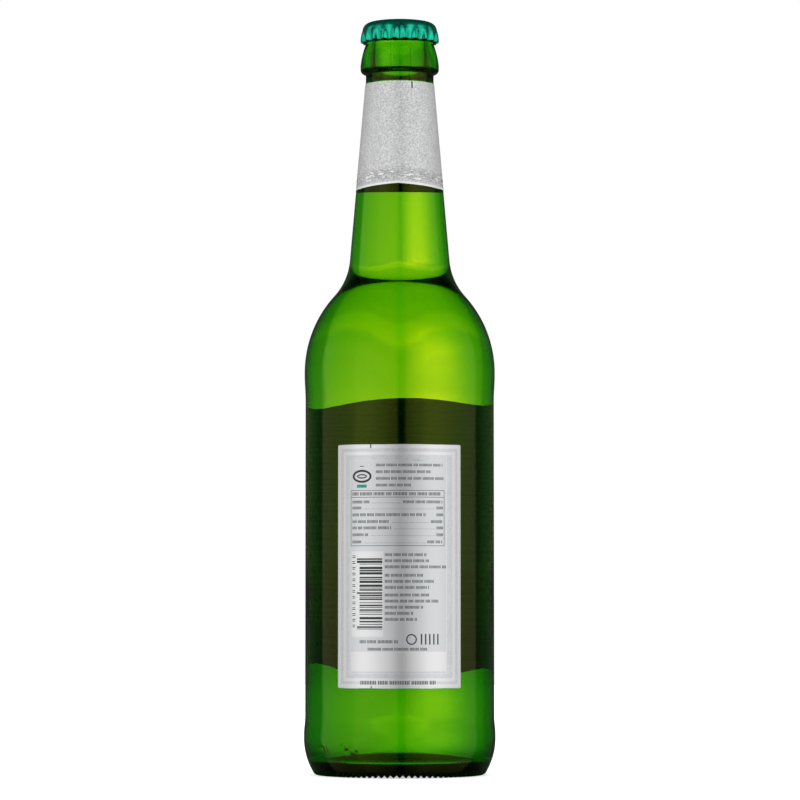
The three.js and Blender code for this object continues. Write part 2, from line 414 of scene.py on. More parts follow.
def cap_relief(angle, r, z):
    """Narrow ridges with wide scallops between them, deepest near the edge."""
    if r < CAP_FLAT:
        return r, z
    share = min(1.0, max(0.0, (RIDGE_START - z) / (RIDGE_START - RIDGE_FULL))) ** RIDGE_EASE
    wave = 0.5 - 0.5 * math.cos(FLUTES * angle)
    ridge = wave ** RIDGE_SHARPNESS
    lift = EDGE_LIFT * ridge if z < CAP_EDGE + EDGE_BAND else 0.0
    return r + RIDGE_REACH * share * ridge, z + lift


def make_cap():
    outline = cap_face(CAP_SHEET, CAP_LINER - CAP_SHEET) + cap_face(0.0, 0.0)[::-1]
    return turned("cap", outline, FLUTES * SIDES_PER_FLUTE, cap_relief)


def body_radius(z):
    """Radius of the straight part of the body at a height."""
    low = smooth((z - HEEL_STEP[0]) / (HEEL_STEP[1] - HEEL_STEP[0]))
    high = smooth((z - PANEL_TOP) / (SHOULDER_START - 1 - PANEL_TOP))
    return HEEL_RADIUS + (PANEL_RADIUS - HEEL_RADIUS) * low + (SHOULDER_RADIUS - PANEL_RADIUS) * high


def bent_label(name, face_angle, columns, rows, across, edges):
    """Paper bent round the body: a closed thin sheet with its print side out.

    across(share) gives the distance round the body for a share from -1 to 1, and edges(distance)
    the two heights there. The UV map holds the distance and the height in millimetres.
    """
    vertices = []
    flat = []
    for side in range(2):
        for i in range(columns + 1):
            distance = across(2 * i / columns - 1)
            bottom, top = edges(distance)
            angle = math.radians(face_angle) + distance / PANEL_RADIUS
            for j in range(rows + 1):
                z = bottom + (top - bottom) * j / rows
                r = body_radius(z) + (PAPER if side else -SUNK)
                vertices.append((r * math.sin(angle), -r * math.cos(angle), z))
                flat.append((distance, z))
    per_side = (columns + 1) * (rows + 1)

    def at(side, i, j):
        return side * per_side + i * (rows + 1) + j

    faces = []
    slots = []
    for i in range(columns):
        for j in range(rows):
            outer = [at(1, i, j), at(1, i + 1, j), at(1, i + 1, j + 1), at(1, i, j + 1)]
            inner = [at(0, i, j), at(0, i, j + 1), at(0, i + 1, j + 1), at(0, i + 1, j)]
            faces += [outer, inner]
            slots += [0, 1]
    for i in range(columns):
        for j in (0, rows):
            faces.append([at(0, i, j), at(0, i + 1, j), at(1, i + 1, j), at(1, i, j)])
            slots.append(2)
    for j in range(rows):
        for i in (0, columns):
            faces.append([at(0, i, j), at(1, i, j), at(1, i, j + 1), at(0, i, j + 1)])
            slots.append(2)
    made = new_object(name, vertices, faces)
    finish_sheet(made, flat, slots)
    return made


def finish_sheet(made, flat, slots):
    """Gives a sheet its UV map in millimetres and its three material slots, and mends its normals."""
    mesh = made.data
    layer = mesh.uv_layers.new(name="sheet")
    for loop in mesh.loops:
        layer.data[loop.index].uv = flat[loop.vertex_index]
    for polygon, slot in zip(mesh.polygons, slots):
        polygon.material_index = slot
    fix_normals(made)


def fix_normals(made):
    """Turns every face of a closed mesh outwards."""
    work = bmesh.new()
    work.from_mesh(made.data)
    bmesh.ops.recalc_face_normals(work, faces=work.faces)
    work.to_mesh(made.data)
    work.free()


def make_back_label():
    half = math.radians(BACK_HALF_ANGLE) * PANEL_RADIUS
    low, high = BACK_LOW[2], BACK_HIGH[2]

    def edges(distance):
        corner = max(0.0, abs(distance) - (half - BACK_CORNER)) / BACK_CORNER
        cut = BACK_CORNER_CUT * corner * corner
        waves = [height * math.sin(distance * pace) for height, pace in BACK_WAVES]
        return low + cut + waves[0], high - cut + waves[1]

    return bent_label("label_back", BACK_TURN, *BACK_GRID, lambda share: share * half, edges)


def make_front_label():
    middle = (FRONT_LOW[2] + FRONT_HIGH[2]) / 2
    half_height = (FRONT_HIGH[2] - FRONT_LOW[2]) / 2

    def across(share):
        return FRONT_HALF_WIDTH * math.sin(share * math.pi / 2)

    def edges(distance):
        reach = math.sqrt(1 - (FRONT_BLUNTNESS * distance / FRONT_HALF_WIDTH) ** 2)
        return middle - half_height * reach, middle + half_height * reach

    return bent_label("label_front", 180 - FRONT_TURN, *FRONT_GRID, across, edges)


def neck_radius(z):
    return NECK_RADIUS - (z - NECK_REFERENCE) * NECK_SLOPE


def make_band():
    """The paper band round the neck, cut higher on both sides of its seam."""
    sides, rows = BAND_GRID
    vertices = []
    flat = []
    for side in range(2):
        for k in range(sides):
            angle = 2 * math.pi * k / sides
            from_seam = abs(math.degrees(angle) - BAND_SEAM_ANGLE)
            from_seam = min(from_seam, 360 - from_seam)
            low = BAND_LOW[2] + BAND_RISE * max(0.0, 1 - from_seam / BAND_RISE_ANGLE)
            for j in range(rows + 1):
                z = low + (BAND_HIGH[2] - low) * j / rows
                r = neck_radius(z) + (PAPER if side else -SUNK)
                vertices.append((r * math.sin(angle), -r * math.cos(angle), z))
                turn = angle if angle < math.pi else angle - 2 * math.pi
                flat.append((math.degrees(turn), z - low))
    per_side = sides * (rows + 1)

    def at(side, k, j):
        return side * per_side + (k % sides) * (rows + 1) + j

    faces = []
    slots = []
    for k in range(sides):
        for j in range(rows):
            faces.append([at(1, k, j), at(1, k + 1, j), at(1, k + 1, j + 1), at(1, k, j + 1)])
            faces.append([at(0, k, j), at(0, k, j + 1), at(0, k + 1, j + 1), at(0, k + 1, j)])
            slots += [0, 1]
        for j in (0, rows):
            faces.append([at(0, k, j), at(0, k + 1, j), at(1, k + 1, j), at(1, k, j)])
            slots.append(2)
    made = new_object("band", vertices, faces)
    finish_sheet(made, flat, slots)
    return made


# Print on the back label, in millimetres from its middle and its lower edge. A block of rows has its
# left end, its first row's height, the pitch, the strokes' height and each row's right end. A row of the
# table has its height, where its first part ends and where its second part starts. Boxes are left,
# right, bottom and top.
DARK, WHITE, GREY, TEAL = range(4)
LINE = 0.17
LAYER = 0.006
INK_SUNK = 0.02
DOT = 0.16
DOT_PITCH = 0.42
LONGEST_BAR = 1.2
STROKE = 0.24
STROKE_GAP = 0.2
GROUP_GAP = 0.4
GROUP_SIZE = (4, 12)
ROWS = (
    (-8.2, 78.1, 2.35, 0.95, (16.0, 11.4, 16.4, 4.5)),
    (-5.0, 46.7, 2.13, 1.0, (9.9, 10.7, 17.0)),
    (-5.0, 39.5, 2.13, 1.0, (8.3, 12.8, 10.7)),
    (-5.0, 32.6, 2.13, 1.0, (10.5, 14.0, 8.6, 5.2, 6.4)),
    (-14.2, 16.3, 2.0, 1.1, (-0.4,)),
    (-11.2, 13.7, 2.0, 0.95, (9.9,)),
)
TABLE = (-17.75, 16.4, 49.75, 69.3)
TABLE_LINE = 66.75
TABLE_MARGIN = 0.7
TABLE_END_MARGIN = 0.6
TABLE_HEADING = 1.15
TABLE_STROKES = 1.0
LEADER_SHORTEST = 5
LEADER_GAPS = (0.9, 0.6)
LEADER_DROP = 0.45
TABLE_ROWS = (
    (65.2, -10.5, 1.4), (63.1, -13.7, 13.4), (60.7, 9.6, 13.4), (58.3, -3.4, 11.3),
    (56.1, -2.6, 13.4), (53.7, -10.8, 13.4), (51.2, -13.4, 10.0),
)
CODE_BARS = (-14.3, -5.9, 20.6, 45.6)
CODE_MODULE = 0.27
CODE_WIDTHS = (1, 1, 1, 2, 2, 3)
CODE_GUARD = 1.0
CODE_MIDDLE_GUARD = 0.6
CODE_PATCH = (-17.4, -5.6, 18.0, 47.9)
DATE_FIELD = (-17.6, 17.0, 5.9, 12.8)
GREY_FIELD = (-18.0, 17.3, 12.8, 79.9)
FOOT_ROW = (-13.9, 13.2, 2.0, 1.35)
DATE_ROW = (-3.2, 9.0, 8.2, 1.0)
LOWER_TICK = (-10.1, -9.75, 0.02, 0.9)
# The last two numbers are measured down from the label's upper edge
UPPER_TICK = (-10.3, -9.9, 1.3, 0.02)
# Each frame's distance from the label's left, right, lower and upper edge, and its width
BACK_FRAMES = (
    (0.25, 0.25, 0.25, 0.25, 1.2), (2.5, 2.5, 2.4, 2.6, 1.15), (5.1, 5.9, 5.0, 5.5, 0.28),
)
# A column of plain strokes in pairs beside the code
PAIRS = 13
PAIR_START = 1.2
PAIR_PITCH = 2.02
PAIR_LIFTS = (-0.45, 0.15)
PAIR_LEFT = -17.1
PAIR_RIGHT = -15.8
PAIR_SPREAD = 0.3
PAIR_STROKE = 0.26
EMBLEM = (-13.4, 74.2)
EMBLEM_RINGS = ((3.6, 2.3, 0.75), (1.9, 0.8, 0.45))
EMBLEM_TOP_BAR = (-14.2, -12.6, 77.6, 77.85)
EMBLEM_BAR = (-15.3, -11.6, 70.2, 71.3)
ROUND_MARK = (4.3, 17.1, 1.9, 1.9, 0.45)
TALL_STROKES = (7.6, 9.1, 10.6, 12.1, 13.6)
TALL_STROKE = (0.5, 15.3, 19.0)

# Print on the front label, in millimetres from its middle. The oval rings have an inset and a width
FRONT_RINGS = ((0.9, 0.7, WHITE), (2.4, 5.5, DARK), (8.6, 0.6, TEAL), (10.0, 0.4, GREY))
FRONT_RING_SIDES = 120
FRONT_SIDE_INSET = 0.6
FRONT_ROUND = (0, 20)
FRONT_ROUNDS = ((11, 1.1, DARK), (8.6, 0.5, TEAL))
FRONT_ROUND_SIDES = 72
FRONT_BARS = (
    (-21, 21, -4.5, 4.5, DARK, 2), (-19.8, 19.8, -3.5, 3.5, GREY, 3),
    (-13, 13, -12.4, -10.4, TEAL, 2), (-9, 9, -17.2, -15.9, DARK, 2),
)

# Print on the band, in degrees round the neck and in millimetres up from its lower edge, or down from
# its upper edge for the tick
BAND_TICK_FIELD = (17.0, 25.0, 2.2, 0.05)
BAND_TICK = (19.2, 21.6, 2.6, 0.1)
BAND_ROW = (74.0, 286.0, 2.8, 3.7)
BAND_STROKE = 1.6
BAND_NEAR, BAND_FAR = 3.2, 7.0
BAND_NEAR_SHARE = 0.8
BAND_LINE_ENDS = (70.0, 290.0)
BAND_LINES = (1.6, 5.2)
BAND_LINE = 0.3


class Print:
    """Ink on bent paper, gathered as thin slabs that each have a material slot.

    place(across, up) turns millimetres on the paper into an angle, a radius and a height.
    """

    def __init__(self, place):
        self.place = place
        self.vertices = []
        self.faces = []
        self.slots = []

    def slab(self, corners, ink, layer):
        """A thin slab over four corners on the paper, given anticlockwise."""
        first = len(self.vertices)
        for lift in (-INK_SUNK, layer * LAYER):
            for across, up in corners:
                angle, r, z = self.place(across, up)
                r += PAPER + lift
                self.vertices.append((r * math.sin(angle), -r * math.cos(angle), z))
        low = range(first, first + 4)
        high = range(first + 4, first + 8)
        self.faces += [list(high), list(low)[::-1]]
        for i in range(4):
            n = (i + 1) % 4
            self.faces.append([low[i], low[n], high[n], high[i]])
        self.slots += [ink] * 6

    def bar(self, left, right, bottom, top, ink, layer=2):
        """A rectangle, cut into strips narrow enough to follow the bend."""
        count = max(1, math.ceil((right - left) / LONGEST_BAR))
        step = (right - left) / count
        for i in range(count):
            a = left + i * step
            b = a + step
            self.slab([(a, bottom), (b, bottom), (b, top), (a, top)], ink, layer)

    def frame(self, box, width, ink, layer):
        left, right, bottom, top = box
        self.bar(left, right, bottom, bottom + width, ink, layer)
        self.bar(left, right, top - width, top, ink, layer)
        self.bar(left, left + width, bottom + width, top - width, ink, layer)
        self.bar(right - width, right, bottom + width, top - width, ink, layer)

    def ring(self, across, up, wide, tall, width, ink, layer, sides=28):
        """An elliptical ring."""
        def at(i, inset):
            turn = 2 * math.pi * i / sides
            return across + (wide - inset) * math.cos(turn), up + (tall - inset) * math.sin(turn)

        for i in range(sides):
            self.slab([at(i, 0), at(i + 1, 0), at(i + 1, width), at(i, width)], ink, layer)

    def hatch(self, left, right, middle, size, ink, draw, layer):
        """A row of even upright strokes in groups of random length."""
        across = left
        group = draw.randint(*GROUP_SIZE)
        while across < right - STROKE_GAP * size:
            wide = size * STROKE
            self.bar(across, across + wide, middle - size * 0.5, middle + size * 0.5, ink, layer)
            across += wide + size * STROKE_GAP
            group -= 1
            if group == 0:
                across += size * GROUP_GAP
                group = draw.randint(*GROUP_SIZE)

    def dots(self, left, right, up, ink):
        """A dotted leader."""
        across = left
        while across < right:
            self.bar(across, across + DOT, up, up + DOT, ink)
            across += DOT_PITCH

    def make(self, name, materials, node, slot):
        made = new_object(name, self.vertices, self.faces)
        for polygon, ink in zip(made.data.polygons, self.slots):
            polygon.material_index = ink
        fix_normals(made)
        dress(made, slot, node, *materials)


def print_back_label(inks):
    """Plain fields, frames, rows of strokes, a table and a bar pattern."""
    draw = random.Random(5)
    low = BACK_LOW[2]

    def place(across, up):
        return math.radians(BACK_TURN) + across / PANEL_RADIUS, body_radius(low + up), low + up

    sheet = Print(place)
    half = math.radians(BACK_HALF_ANGLE) * PANEL_RADIUS
    tall = BACK_HIGH[2] - low
    for left, right, bottom, top, width in BACK_FRAMES:
        sheet.frame((left - half, half - right, bottom, tall - top), width, WHITE, 1)
    sheet.bar(*GREY_FIELD, GREY, 1)
    sheet.bar(*DATE_FIELD, WHITE, 1)
    sheet.bar(*CODE_PATCH, WHITE, 2)
    for left, middle, pitch, size, ends in ROWS:
        for row, right in enumerate(ends):
            sheet.hatch(left, right, middle - pitch * row, size, DARK, draw, 3)
    sheet.frame(TABLE, LINE, DARK, 3)
    left, right, bottom, top = TABLE
    sheet.bar(left, right, TABLE_LINE, TABLE_LINE + LINE, DARK, 3)
    heading = (TABLE_LINE + top) / 2
    sheet.hatch(left + TABLE_MARGIN, right - TABLE_MARGIN, heading, TABLE_HEADING, DARK, draw, 3)
    for middle, name_end, value_start in TABLE_ROWS:
        sheet.hatch(left + TABLE_MARGIN, name_end, middle, TABLE_STROKES, DARK, draw, 3)
        if value_start - name_end > LEADER_SHORTEST:
            start, end = name_end + LEADER_GAPS[0], value_start - LEADER_GAPS[1]
            sheet.dots(start, end, middle - LEADER_DROP, DARK)
        sheet.hatch(value_start, right - TABLE_END_MARGIN, middle, TABLE_STROKES, DARK, draw, 3)
    print_code(sheet, draw)
    print_emblem(sheet)
    sheet.hatch(*FOOT_ROW, DARK, draw, 3)
    sheet.hatch(*DATE_ROW, WHITE, draw, 3)
    left, right, bottom, top = UPPER_TICK
    sheet.bar(left, right, tall - bottom, tall - top, DARK, 3)
    sheet.bar(*LOWER_TICK, DARK, 3)
    sheet.make("label_back_print", inks, "back_label", "back_print")


def print_code(sheet, draw):
    """A pattern of bars lying on their side, with a column of plain strokes beside it."""
    left, right, bottom, top = CODE_BARS
    up = bottom
    dark = True
    while up < top - CODE_MODULE:
        high = up + CODE_MODULE * draw.choice(CODE_WIDTHS)
        if dark:
            at_end = up < bottom + CODE_GUARD or high > top - CODE_GUARD
            guard = at_end or abs(up - (bottom + top) / 2) < CODE_MIDDLE_GUARD
            sheet.bar(left - (CODE_GUARD if guard else 0.0), right, up, min(high, top), DARK, 3)
        up = high
        dark = not dark
    for row in range(PAIRS):
        middle = bottom + PAIR_START + row * PAIR_PITCH
        for lift in PAIR_LIFTS:
            end = PAIR_RIGHT - PAIR_SPREAD * draw.random()
            sheet.bar(PAIR_LEFT, end, middle + lift, middle + lift + PAIR_STROKE, DARK, 3)


def print_emblem(sheet):
    """A plain oval ring with a teal bar at the top left, and a ring with five tall strokes lower down."""
    for wide, tall, thick in EMBLEM_RINGS:
        sheet.ring(*EMBLEM, wide, tall, thick, DARK, 3)
    sheet.bar(*EMBLEM_TOP_BAR, DARK, 3)
    sheet.bar(*EMBLEM_BAR, TEAL, 3)
    sheet.ring(*ROUND_MARK, DARK, 3)
    width, bottom, top = TALL_STROKE
    for across in TALL_STROKES:
        sheet.bar(across, across + width, bottom, top, DARK, 3)


def print_front_label(inks):
    """Plain oval frames on silver, with a ring, a framed grey field and two bars in the middle."""
    middle = (FRONT_LOW[2] + FRONT_HIGH[2]) / 2
    half_height = (FRONT_HIGH[2] - FRONT_LOW[2]) / 2

    def place(across, up):
        return math.radians(180 - FRONT_TURN) + across / PANEL_RADIUS, body_radius(middle + up), middle + up

    sheet = Print(place)
    for inset, width, ink in FRONT_RINGS:
        wide = FRONT_HALF_WIDTH - inset - FRONT_SIDE_INSET
        sheet.ring(0, 0, wide, half_height - inset, width, ink, 2, FRONT_RING_SIDES)
    for size, width, ink in FRONT_ROUNDS:
        sheet.ring(*FRONT_ROUND, size, size, width, ink, 2, FRONT_ROUND_SIDES)
    for bar in FRONT_BARS:
        sheet.bar(*bar)
    sheet.make("label_front_print", inks, "front_label", "front_print")


def print_band(inks):
    """A register tick at the top and a row of even strokes round the far side of the neck."""
    draw = random.Random(9)

    def place(across, up):
        z = BAND_LOW[2] + up
        return math.radians(across), neck_radius(z), z

    sheet = Print(place)
    tall = BAND_HIGH[2] - BAND_LOW[2]
    for box, ink, layer in ((BAND_TICK_FIELD, WHITE, 1), (BAND_TICK, DARK, 2)):
        left, right, bottom, top = box
        sheet.bar(left, right, tall - bottom, tall - top, ink, layer)
    across, last, bottom, top = BAND_ROW
    while across < last:
        sheet.bar(across, across + BAND_STROKE, bottom, top, DARK, 2)
        across += BAND_NEAR if draw.random() < BAND_NEAR_SHARE else BAND_FAR
    for up in BAND_LINES:
        sheet.bar(*BAND_LINE_ENDS, up, up + BAND_LINE, GREY, 1)
    sheet.make("band_print", inks, "neck_band", "silver_paper")


class Shader:
    """Small helper that adds nodes to a material or world and links them."""

    def __init__(self, owner):
        owner.use_nodes = True
        self.tree = owner.node_tree
        self.tree.nodes.clear()

    def node(self, kind, **values):
        made = self.tree.nodes.new(kind)
        for name, value in values.items():
            setattr(made, name, value)
        return made

    def link(self, source, target):
        self.tree.links.new(source, target)

    def put(self, value, socket):
        """Links a socket, or sets a plain value."""
        if isinstance(value, bpy.types.NodeSocket):
            self.link(value, socket)
        else:
            socket.default_value = value

    def math(self, operation, a, b=0.0):
        made = self.node("ShaderNodeMath", operation=operation)
        self.put(a, made.inputs[0])
        self.put(b, made.inputs[1])
        return made.outputs[0]

    def mix(self, share, a, b):
        """A mix of two colours."""
        made = self.node("ShaderNodeMix", data_type="RGBA")
        self.put(share, made.inputs["Factor"])
        self.put(a, made.inputs[6])
        self.put(b, made.inputs[7])
        return made.outputs[2]

    def ramp(self, value, stops):
        """A ramp through (position, brightness) stops."""
        made = self.node("ShaderNodeValToRGB")
        made.color_ramp.interpolation = "LINEAR"
        elements = made.color_ramp.elements
        while len(elements) < len(stops):
            elements.new(0.5)
        for element, (position, level) in zip(elements, stops):
            element.position = position
            element.color = (level, level, level, 1)
        self.put(value, made.inputs[0])
        return made.outputs[0]

    def noise(self, vector, scale, detail=2.0, roughness=0.5):
        made = self.node("ShaderNodeTexNoise")
        made.inputs["Scale"].default_value = scale
        made.inputs["Detail"].default_value = detail
        made.inputs["Roughness"].default_value = roughness
        self.put(vector, made.inputs["Vector"])
        return made.outputs["Fac"]

    def stretched(self, vector, scale, turn=(0, 0, 0), kind="POINT"):
        made = self.node("ShaderNodeMapping", vector_type=kind)
        made.inputs["Scale"].default_value = scale
        made.inputs["Rotation"].default_value = turn
        self.put(vector, made.inputs["Vector"])
        return made.outputs[0]

    def bump(self, height, distance, strength=1.0):
        made = self.node("ShaderNodeBump")
        made.inputs["Strength"].default_value = strength
        made.inputs["Distance"].default_value = distance
        self.put(height, made.inputs["Height"])
        return made.outputs[0]

    def place(self):
        return self.node("ShaderNodeTexCoord").outputs["Object"]

    def surface(self, shader, volume=None):
        out = self.node("ShaderNodeOutputMaterial")
        self.link(shader, out.inputs["Surface"])
        if volume is not None:
            self.link(volume, out.inputs["Volume"])


def principled(shader, **values):
    made = shader.node("ShaderNodeBsdfPrincipled")
    for name, value in values.items():
        shader.put(value, made.inputs[name.replace("_", " ")])
    return made


def new_material(name):
    made = bpy.data.materials.new(name)
    return made, Shader(made)


def glass_material():
    made, shader = new_material("green_glass")
    place = shader.place()
    waves = shader.noise(shader.stretched(place, (1, 1, 0.55)), 90, 1.0)
    skin = principled(shader, Base_Color=(1, 1, 1, 1), Roughness=0.0, IOR=1.52)
    skin.inputs["Transmission Weight"].default_value = 1.0
    skin.inputs["Specular Tint"].default_value = (0.95, 1.0, 0.14, 1)
    shader.link(shader.bump(waves, 0.0002, 0.35), skin.inputs["Normal"])
    body = shader.node("ShaderNodeVolumeAbsorption")
    body.inputs["Color"].default_value = (0.633, 0.883, 0.0, 1)
    body.inputs["Density"].default_value = 900.0
    shader.surface(skin.outputs[0], body.outputs[0])
    return made


def beer_material():
    made, shader = new_material("pale_beer")
    skin = principled(shader, Base_Color=(1, 1, 1, 1), Roughness=0.0, IOR=1.345)
    skin.inputs["Transmission Weight"].default_value = 1.0
    body = shader.node("ShaderNodeVolumeAbsorption")
    body.inputs["Color"].default_value = (0.967, 0.967, 0.0, 1)
    body.inputs["Density"].default_value = 60.0
    shader.surface(skin.outputs[0], body.outputs[0])
    return made


def cap_material():
    made, shader = new_material("cap_lacquer")
    place = shader.place()
    fleck = shader.noise(place, 6000, 1.0)
    share = shader.ramp(fleck, [(0.35, 0.0), (0.65, 1.0)])
    tone = shader.mix(share, (0.0, 0.44, 0.27, 1), (0.0, 0.92, 0.57, 1))
    skin = principled(shader, Base_Color=tone, Metallic=0.92, Roughness=0.08)
    skin.inputs["Coat Weight"].default_value = 0.4
    skin.inputs["Coat Roughness"].default_value = 0.03
    dents = shader.noise(place, 250, 1.0)
    shader.link(shader.bump(dents, 0.0003, 0.35), skin.inputs["Normal"])
    shader.surface(skin.outputs[0])
    return made


def paper_back_painted_shade_material():
    """The glued inner side of the paper, streaked by the glue roller. Its near-black tone is painted shade
    for this side, which sits in the shade of the glass.
    """
    made, shader = new_material("paper_back_painted_shade")
    place = shader.place()
    streaks = shader.noise(shader.stretched(place, (1, 1, 14)), 60, 3.0)
    share = shader.ramp(streaks, [(0.3, 0.0), (0.7, 1.0)])
    # Painted shade: the paper's back gets a near-black tone instead of its own paper colour
    tone = shader.mix(share, (0.03, 0.03, 0.028, 1), (0.085, 0.085, 0.075, 1))
    skin = principled(shader, Base_Color=tone, Roughness=0.7)
    shader.surface(skin.outputs[0])
    return made


def paper_edge_material():
    made, shader = new_material("paper_edge")
    fibre = shader.noise(shader.place(), 5000, 1.0)
    tone = shader.mix(fibre, (0.75, 0.75, 0.74, 1), (0.92, 0.92, 0.91, 1))
    skin = principled(shader, Base_Color=tone, Roughness=0.6)
    shader.surface(skin.outputs[0])
    return made


def silver_paper(shader, light, dark, metallic, grain_depth):
    """Metallised paper: fine slanting grain in tone and relief. Returns its shader node and its tone."""
    place = shader.place()
    slant = shader.stretched(place, (1, 1, 2.2), (0, 0.9, 0), "TEXTURE")
    fine = shader.noise(slant, 2600, 2.0, 0.6)
    coarse = shader.noise(place, 260, 2.0)
    tone = shader.mix(shader.ramp(fine, [(0.33, 0.0), (0.67, 1.0)]), dark, light)
    cloud = shader.ramp(coarse, [(0.3, 0.0), (0.7, 1.0)])
    soft = shader.mix(cloud, (0.93, 0.93, 0.94, 1), (1, 1, 1, 1))
    blend = shader.node("ShaderNodeMix", data_type="RGBA", blend_type="MULTIPLY")
    blend.inputs["Factor"].default_value = 1.0
    shader.put(tone, blend.inputs[6])
    shader.put(soft, blend.inputs[7])
    skin = principled(shader, Base_Color=blend.outputs[2], Metallic=metallic, Roughness=0.33)
    shader.link(shader.bump(fine, grain_depth, 0.5), skin.inputs["Normal"])
    return skin, blend.outputs[2]


def band_material():
    """The band's paper is pressed in a crinkled ring above its white lower edge. The crinkles' raised spots
    are also mixed towards white in its colour as a painted highlight.
    """
    made, shader = new_material("silver_paper")
    skin, tone = silver_paper(shader, (0.95, 0.95, 0.94, 1), (0.52, 0.53, 0.53, 1), 0.25, 0.00008)
    sheet = shader.node("ShaderNodeUVMap", uv_map="sheet")
    split = shader.node("ShaderNodeSeparateXYZ")
    shader.link(sheet.outputs[0], split.inputs[0])
    up = split.outputs[1]
    edge = shader.math("LESS_THAN", up, 0.75)
    ring = shader.ramp(shader.math("MULTIPLY", up, 0.1), [(0.12, 0.0), (0.2, 1.0), (0.5, 1.0), (0.62, 0.0)])
    crinkle = shader.noise(shader.stretched(shader.place(), (1, 1, 2.6)), 330, 3.0, 0.65)
    # The crinkles' raised spots: relief, and a painted highlight mixed towards white in the colour
    crinkle_and_painted_highlight = shader.math("MULTIPLY", ring, shader.ramp(crinkle, [(0.46, 0.0), (0.56, 1.0)]))
    bright = shader.mix(shader.math("MULTIPLY", crinkle_and_painted_highlight, 0.9), tone, (1, 1, 1, 1))
    dent = shader.node("ShaderNodeBump")
    dent.inputs["Distance"].default_value = 0.0004
    shader.put(crinkle_and_painted_highlight, dent.inputs["Height"])
    shader.link(skin.inputs["Normal"].links[0].from_socket, dent.inputs["Normal"])
    shader.link(dent.outputs[0], skin.inputs["Normal"])
    shader.put(shader.mix(edge, bright, (1, 1, 1, 1)), skin.inputs["Base Color"])
    shader.surface(skin.outputs[0])
    return made


def label_material(name, light, dark):
    made, shader = new_material(name)
    skin, _ = silver_paper(shader, light, dark, 0.85, 0.00001)
    shader.surface(skin.outputs[0])
    return made


def ink_material(name, dark, light, roughness, metallic=0.0):
    """Ink with a little mottle."""
    made, shader = new_material(name)
    mottle = shader.noise(shader.place(), 3500, 2.0)
    tone = shader.mix(mottle, dark, light)
    skin = principled(shader, Base_Color=tone, Roughness=roughness, Metallic=metallic)
    shader.surface(skin.outputs[0])
    return made


def dress(piece, slot, node, *materials):
    """Gives a piece its materials and its body, and hides the imported node that it stands for. The slot is
    not used.
    """
    for material in materials:
        piece.data.materials.append(material)
    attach(piece, BODY)
    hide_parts(node)


# Camera, in millimetres, degrees and pixels of the square picture
CAMERA_DISTANCE = 1323.0
CAMERA_HEIGHT = 60.3
CAMERA_SIDE = 0.1
CAMERA_PITCH = 3.2
FOCAL_PIXELS = 3683.0
PICTURE_PIXELS = 800
SENSOR = 36.0

FLOOR_REACH = 1500.0
FLOOR_GLOW = 0.55


def make_camera():
    data = bpy.data.cameras.new("camera")
    data.sensor_width = SENSOR
    data.sensor_fit = "HORIZONTAL"
    data.lens = FOCAL_PIXELS / PICTURE_PIXELS * SENSOR
    data.clip_start = 0.01
    data.clip_end = 20
    made = bpy.data.objects.new("camera", data)
    made.location = (CAMERA_SIDE * MM, -CAMERA_DISTANCE * MM, CAMERA_HEIGHT * MM)
    made.rotation_euler = (math.radians(90 + CAMERA_PITCH), 0, 0)
    bpy.context.scene.collection.objects.link(made)
    bpy.context.scene.camera = made


def make_floor():
    """A pale floor that only the camera sees, so the glass keeps the studio's own light."""
    far = FLOOR_REACH
    corners = [(-far, -far, 0), (far, -far, 0), (far, far, 0), (-far, far, 0)]
    floor = new_object("floor", corners, [(0, 1, 2, 3)])
    made, shader = new_material("floor_paint")
    grain = shader.noise(shader.place(), 40, 2.0)
    tone = shader.mix(grain, (0.9, 0.9, 0.9, 1), (0.93, 0.93, 0.93, 1))
    skin = principled(shader, Base_Color=tone, Roughness=0.9)
    skin.inputs["Emission Color"].default_value = (1, 1, 1, 1)
    skin.inputs["Emission Strength"].default_value = FLOOR_GLOW
    shader.surface(skin.outputs[0])
    floor.data.materials.append(made)
    floor.visible_glossy = False
    floor.visible_transmission = False
    floor.visible_diffuse = False


def bearing_stops(pairs):
    """Ramp stops from bearings in degrees: 0 is behind the bottle (+Y), positive towards +X."""
    return [((bearing + 180) / 360, level) for bearing, level in pairs]


def height_stops(pairs):
    """Ramp stops from elevations in degrees."""
    return [((math.sin(math.radians(angle)) + 1) / 2, level) for angle, level in pairs]


# What the glass shows of the studio, by bearing and by elevation: a bright panel behind the bottle, dark
# above it, with dark flags on both sides
SEEN_ROUND = [
    (-180, 0.05), (-172, 0.08), (-160, 0.25), (-100, 0.25), (-75, 0.06), (-62, 0.1), (-52, 0.33),
    (-40, 0.45), (-37, 0.62), (-29, 0.74), (-20, 0.86), (-12, 0.9), (-4, 0.88), (4, 0.86),
    (10, 0.86), (20, 0.8), (30, 0.72), (32.5, 0.5), (45, 0.42), (55, 0.25), (62, 0.08), (75, 0.06),
    (100, 0.25), (160, 0.25), (172, 0.08), (180, 0.05),
]
SEEN_UP = [
    (-90, 0.1), (-60, 0.45), (-48, 0.85), (-36, 1.0), (-20, 1.1), (-9.2, 1.08), (-8.4, 1.18),
    (-7.7, 1.19), (-3, 1.24), (-1.5, 1.04), (1, 0.98), (4, 0.98), (7, 0.92), (90, 0.92),
]
SEEN_TOP = [(-90, 1.0), (10.8, 1.0), (12.6, 0.08), (40, 0.05), (90, 0.03)]
# A soft glow on the panel, to one side of its middle
GLOW_ROUND = [
    (-34, 0.0), (-28, 0.05), (-24, 0.2), (-20, 0.48), (-15, 0.92), (-12, 1.0), (-8, 0.95),
    (-5, 0.55), (-2, 0.0),
]
GLOW_UP = [(-10, 0.0), (-7, 0.35), (-4, 0.72), (-1.5, 0.88), (1, 0.78), (4, 0.7), (7, 0.45), (9, 0.1)]
GLOW = 0.6
